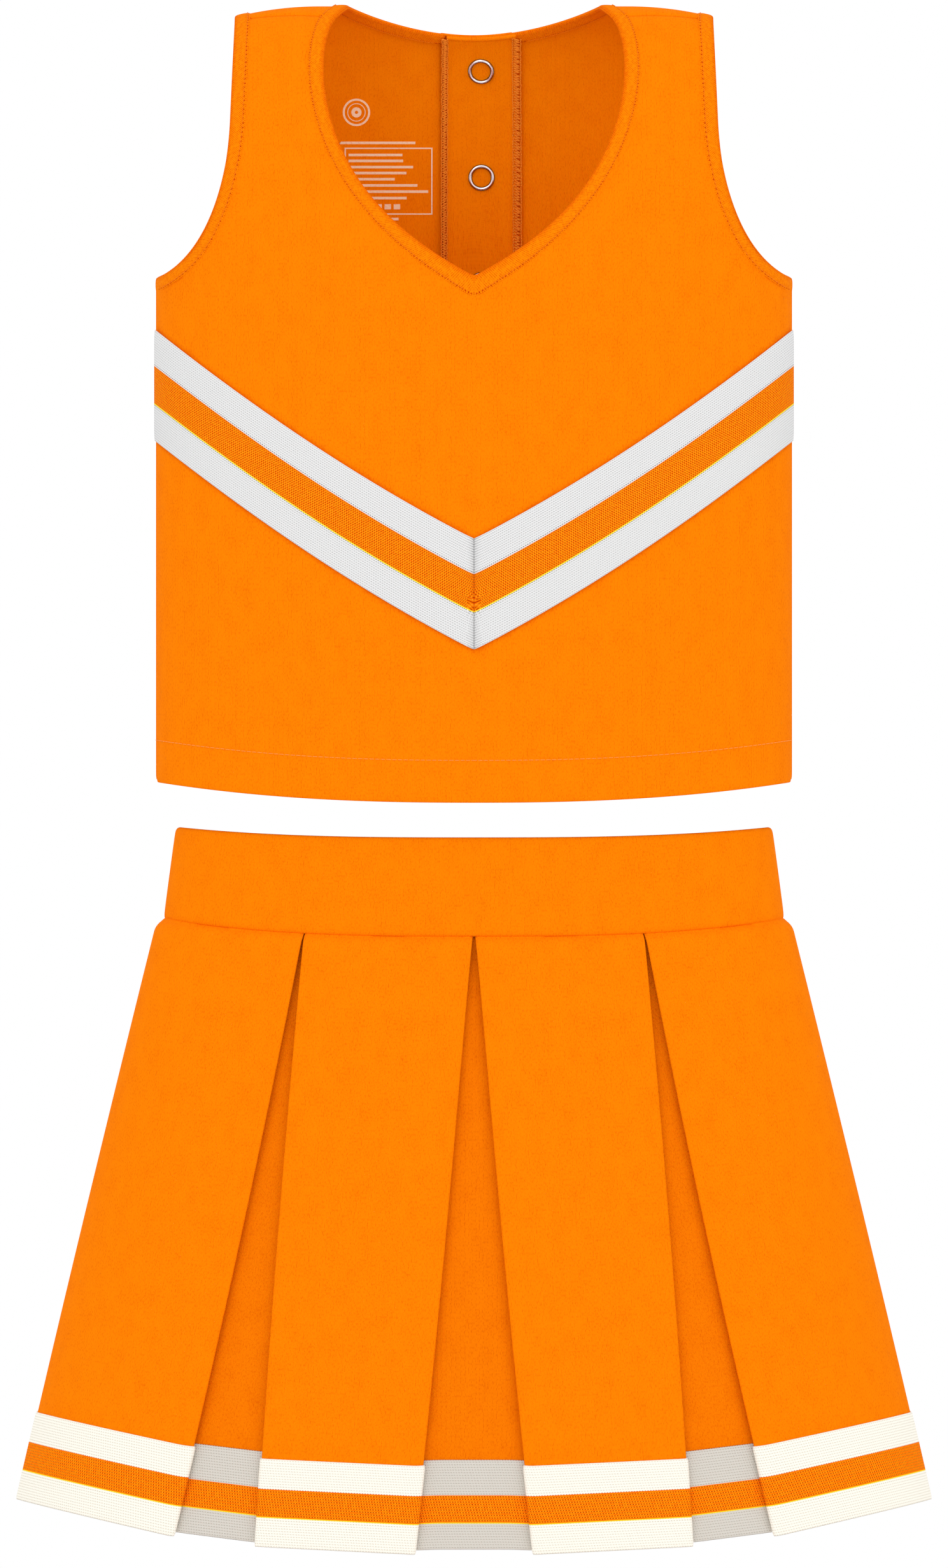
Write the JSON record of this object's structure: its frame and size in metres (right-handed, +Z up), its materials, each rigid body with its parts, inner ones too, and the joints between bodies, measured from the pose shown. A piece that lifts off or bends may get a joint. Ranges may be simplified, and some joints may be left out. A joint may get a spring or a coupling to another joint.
{
  "type": "cheer uniform",
  "caption": "Two-piece cheer uniform for a small child: sleeveless V-neck shell top with a chevron tape and a snap back, over a box-pleated skirt on an elastic waistband.",
  "frame": {"origin": "middle of the waistband, where the wearer's waist passes through", "axes": "+Z up through the neck, -Y is the front, +X towards the wearer's left side"},
  "size_m": [0.3428, 0.1656, 0.5692],
  "materials": {
    "body_knit": "orange cotton interlock knit",
    "binding_knit": "orange rib knit binding",
    "trim_tape": "flat knit tape striped white, orange, white",
    "overlock_thread": "overlocked thread edge",
    "elastic": "woven elastic",
    "snap_metal": "nickel-plated ring snap"
  },
  "bodies": {
    "waistband": {"waistband": "body_knit", "waist_elastic": "elastic", "waist_seam": "overlock_thread"},
    "top": {"front_panel": "body_knit", "back_panel_left": "body_knit", "back_panel_right": "body_knit", "under_placket": "body_knit", "neck_binding_front": "binding_knit", "neck_binding_back_left": "binding_knit", "neck_binding_back_right": "binding_knit", "armhole_binding_left": "binding_knit", "armhole_binding_right": "binding_knit", "side_seam_left": "overlock_thread", "side_seam_right": "overlock_thread", "chevron_tape_left": "trim_tape", "chevron_tape_right": "trim_tape", "snap_studs": "snap_metal", "snap_inner_rings": "snap_metal"},
    "back_flap": {"back_flap_left": "body_knit", "over_placket": "body_knit", "neck_binding_flap": "binding_knit", "snap_cap_rings": "snap_metal", "snap_sockets": "snap_metal"},
    "pleat_1": {"pleat_panel_1": "body_knit", "panel_tape_1": "trim_tape"},
    "underlay_1": {"pleat_underlay_1": "body_knit", "underlay_tape_1": "trim_tape"},
    "pleat_2": {"pleat_panel_2": "body_knit", "panel_tape_2": "trim_tape"},
    "underlay_2": {"pleat_underlay_2": "body_knit", "underlay_tape_2": "trim_tape"},
    "pleat_3": {"pleat_panel_3": "body_knit", "panel_tape_3": "trim_tape"},
    "underlay_3": {"pleat_underlay_3": "body_knit", "underlay_tape_3": "trim_tape"},
    "pleat_4": {"pleat_panel_4": "body_knit", "panel_tape_4": "trim_tape"},
    "underlay_4": {"pleat_underlay_4": "body_knit", "underlay_tape_4": "trim_tape"},
    "pleat_5": {"pleat_panel_5": "body_knit", "panel_tape_5": "trim_tape"},
    "underlay_5": {"pleat_underlay_5": "body_knit", "underlay_tape_5": "trim_tape"},
    "pleat_6": {"pleat_panel_6": "body_knit", "panel_tape_6": "trim_tape"},
    "underlay_6": {"pleat_underlay_6": "body_knit", "underlay_tape_6": "trim_tape"},
    "pleat_7": {"pleat_panel_7": "body_knit", "panel_tape_7": "trim_tape"},
    "underlay_7": {"pleat_underlay_7": "body_knit", "underlay_tape_7": "trim_tape"},
    "pleat_8": {"pleat_panel_8": "body_knit", "panel_tape_8": "trim_tape"},
    "underlay_8": {"pleat_underlay_8": "body_knit", "underlay_tape_8": "trim_tape"}
  },
  "joints": [
    {"name": "top_slide", "type": "slide", "parent": "waistband", "child": "top", "axis": [0, 0, 1], "range_m": [-0.045, 0.06]},
    {"name": "back_flap_open", "type": "hinge", "parent": "top", "child": "back_flap", "pos_m": [-0.036, 0.0468, 0.18], "axis": [0, 0, 1], "range_deg": [0, 50]},
    {"name": "pleat_1_flare", "type": "hinge", "parent": "waistband", "child": "pleat_1", "pos_m": [0.0365, -0.04414, -0.01962], "axis": [-0.997, -0.0774, 0], "range_deg": [0, 14]},
    {"name": "pleat_2_flare", "type": "hinge", "parent": "waistband", "child": "pleat_2", "pos_m": [0.10359, -0.02598, -0.01622], "axis": [-0.8196, -0.5729, 0], "range_deg": [0, 14]},
    {"name": "pleat_3_flare", "type": "hinge", "parent": "waistband", "child": "pleat_3", "pos_m": [0.10359, 0.02598, -0.01622], "axis": [0.8196, -0.5729, 0], "range_deg": [0, 14]},
    {"name": "pleat_4_flare", "type": "hinge", "parent": "waistband", "child": "pleat_4", "pos_m": [0.0365, 0.04414, -0.01962], "axis": [0.997, -0.0774, 0], "range_deg": [0, 14]},
    {"name": "pleat_5_flare", "type": "hinge", "parent": "waistband", "child": "pleat_5", "pos_m": [-0.0365, 0.04414, -0.01962], "axis": [0.997, 0.0774, 0], "range_deg": [0, 14]},
    {"name": "pleat_6_flare", "type": "hinge", "parent": "waistband", "child": "pleat_6", "pos_m": [-0.10359, 0.02598, -0.01622], "axis": [0.8196, 0.5729, 0], "range_deg": [0, 14]},
    {"name": "pleat_7_flare", "type": "hinge", "parent": "waistband", "child": "pleat_7", "pos_m": [-0.10359, -0.02598, -0.01622], "axis": [-0.8196, 0.5729, 0], "range_deg": [0, 14]},
    {"name": "pleat_8_flare", "type": "hinge", "parent": "waistband", "child": "pleat_8", "pos_m": [-0.0365, -0.04414, -0.01962], "axis": [-0.997, 0.0774, 0], "range_deg": [0, 14]},
    {"name": "underlay_1_flare", "type": "hinge", "parent": "waistband", "child": "underlay_1", "pos_m": [0, -0.0416, -0.0198], "axis": [-1, 0, 0], "range_deg": [0, 13.58]},
    {"name": "underlay_2_flare", "type": "hinge", "parent": "waistband", "child": "underlay_2", "pos_m": [0.07393, -0.03456, -0.0184], "axis": [-0.9678, -0.2518, 0], "range_deg": [0, 13.58]},
    {"name": "underlay_3_flare", "type": "hinge", "parent": "waistband", "child": "underlay_3", "pos_m": [0.114, 0, -0.0146], "axis": [0, -1, 0], "range_deg": [0, 10.5]},
    {"name": "underlay_4_flare", "type": "hinge", "parent": "waistband", "child": "underlay_4", "pos_m": [0.07393, 0.03456, -0.0184], "axis": [0.9678, -0.2518, 0], "range_deg": [0, 13.58]},
    {"name": "underlay_5_flare", "type": "hinge", "parent": "waistband", "child": "underlay_5", "pos_m": [0, 0.0416, -0.0198], "axis": [1, 0, 0], "range_deg": [0, 13.58]},
    {"name": "underlay_6_flare", "type": "hinge", "parent": "waistband", "child": "underlay_6", "pos_m": [-0.07393, 0.03456, -0.0184], "axis": [0.9678, 0.2518, 0], "range_deg": [0, 13.58]},
    {"name": "underlay_7_flare", "type": "hinge", "parent": "waistband", "child": "underlay_7", "pos_m": [-0.114, 0, -0.0146], "axis": [0, 1, 0], "range_deg": [0, 10.5]},
    {"name": "underlay_8_flare", "type": "hinge", "parent": "waistband", "child": "underlay_8", "pos_m": [-0.07393, -0.03456, -0.0184], "axis": [-0.9678, 0.2518, 0], "range_deg": [0, 13.58]}
  ],
  "couplings": [
    {"joint": "pleat_2_flare", "follows": "pleat_1_flare", "ratio": 1},
    {"joint": "pleat_3_flare", "follows": "pleat_1_flare", "ratio": 1},
    {"joint": "pleat_4_flare", "follows": "pleat_1_flare", "ratio": 1},
    {"joint": "pleat_5_flare", "follows": "pleat_1_flare", "ratio": 1},
    {"joint": "pleat_6_flare", "follows": "pleat_1_flare", "ratio": 1},
    {"joint": "pleat_7_flare", "follows": "pleat_1_flare", "ratio": 1},
    {"joint": "pleat_8_flare", "follows": "pleat_1_flare", "ratio": 1},
    {"joint": "underlay_1_flare", "follows": "pleat_1_flare", "ratio": 0.97},
    {"joint": "underlay_2_flare", "follows": "pleat_1_flare", "ratio": 0.97},
    {"joint": "underlay_3_flare", "follows": "pleat_1_flare", "ratio": 0.75},
    {"joint": "underlay_4_flare", "follows": "pleat_1_flare", "ratio": 0.97},
    {"joint": "underlay_5_flare", "follows": "pleat_1_flare", "ratio": 0.97},
    {"joint": "underlay_6_flare", "follows": "pleat_1_flare", "ratio": 0.97},
    {"joint": "underlay_7_flare", "follows": "pleat_1_flare", "ratio": 0.75},
    {"joint": "underlay_8_flare", "follows": "pleat_1_flare", "ratio": 0.97}
  ]
}
